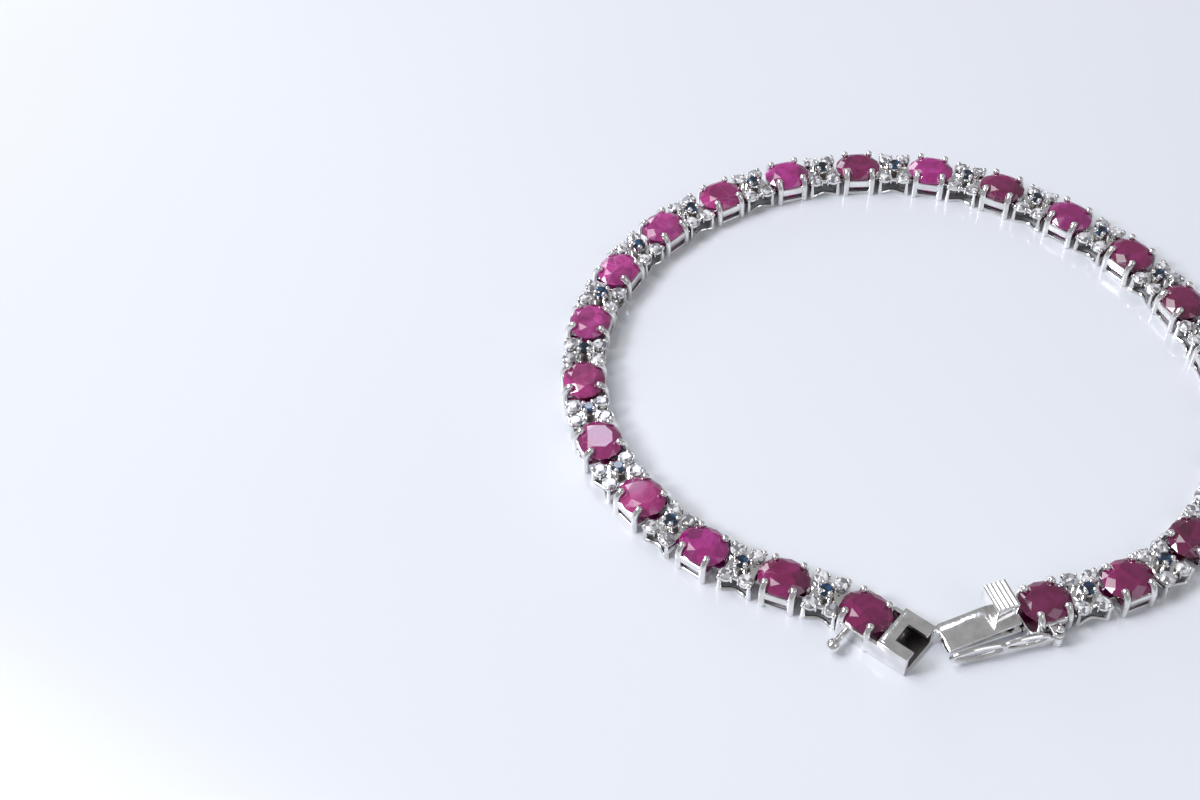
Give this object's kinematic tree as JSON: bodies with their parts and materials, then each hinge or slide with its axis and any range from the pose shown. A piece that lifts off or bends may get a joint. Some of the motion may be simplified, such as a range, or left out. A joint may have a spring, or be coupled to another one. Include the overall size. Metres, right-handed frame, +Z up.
{
  "type": "tennis bracelet",
  "caption": "Flexible line bracelet of oval red stones in open claw settings, joined by links of small white and blue stones, with a box clasp, spring tongue and wire safety catch.",
  "frame": {"origin": "centre of the bounding box's bottom face, on the surface that the bracelet lies on", "axes": "+Z up out of the stones' tables, +X along the longest extent of the laid loop, -Y towards the open clasp"},
  "size_m": [0.0664, 0.0644, 0.0039],
  "materials": {
    "silver": "polished white plated silver",
    "red_stone": "polished facets"
  },
  "bodies": {
    "bracelet": {"setting_chain_left": "silver", "setting_chain_right": "silver", "clasp_box": "silver", "tongue_end_link": "silver", "spring_tongue": "silver", "catch_pin": "silver", "ruby_01": "red_stone", "ruby_02": "red_stone", "ruby_03": "red_stone", "ruby_04": "red_stone", "ruby_05": "red_stone", "ruby_06": "red_stone", "ruby_07": "red_stone", "ruby_08": "red_stone", "ruby_09": "red_stone", "ruby_10": "red_stone", "ruby_11": "red_stone", "ruby_12": "red_stone", "ruby_13": "red_stone", "ruby_14": "red_stone", "ruby_15": "red_stone", "ruby_16": "red_stone", "ruby_17": "red_stone", "ruby_18": "red_stone", "ruby_19": "red_stone", "ruby_20": "red_stone", "ruby_21": "red_stone", "ruby_22": "red_stone", "ruby_23": "red_stone"},
    "catch": {"safety_catch": "silver"}
  },
  "joints": [
    {"name": "safety_catch_hinge", "type": "hinge", "parent": "bracelet", "child": "catch", "pos_m": [0.0084, -0.02978, 0.00115], "axis": [0, 0, 1], "range_deg": [0, 100]}
  ]
}
